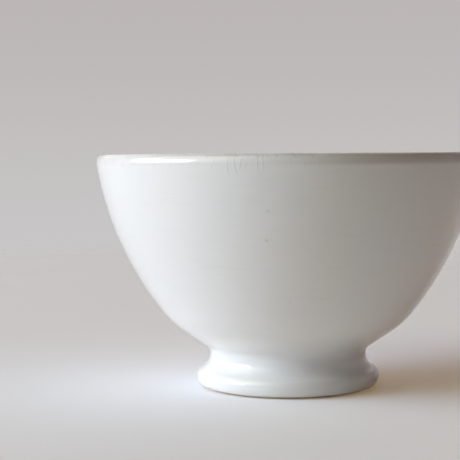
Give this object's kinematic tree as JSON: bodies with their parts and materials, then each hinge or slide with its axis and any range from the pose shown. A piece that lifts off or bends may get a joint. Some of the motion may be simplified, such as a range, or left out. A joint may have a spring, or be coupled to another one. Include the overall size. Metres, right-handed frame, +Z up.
{
  "type": "latte bowl",
  "caption": "Footed latte bowl without a handle: a deep rounded earthenware bowl with a rolled lip, a drawn-in neck and a low hollow foot ring, glazed white inside and out.",
  "frame": {"origin": "middle of the bare ring that the foot rests on, on the table's surface", "axes": "+Z up along the bowl's axis, from the foot to the mouth; the bowl is round, so X and Y are any two level directions"},
  "size_m": [0.13, 0.13, 0.0798],
  "materials": {
    "biscuit": "matte biscuit earthenware, bare on the resting ring",
    "slip": "fired slip, hidden in the joint",
    "glaze": "glossy warm white glaze, finely crazed at the lip"
  },
  "bodies": {
    "root": {"bowl_body": "biscuit", "foot_ring": "biscuit", "luting_slip": "slip", "outer_glaze": "glaze", "inner_glaze": "glaze", "foot_well_glaze": "glaze"}
  },
  "joints": []
}
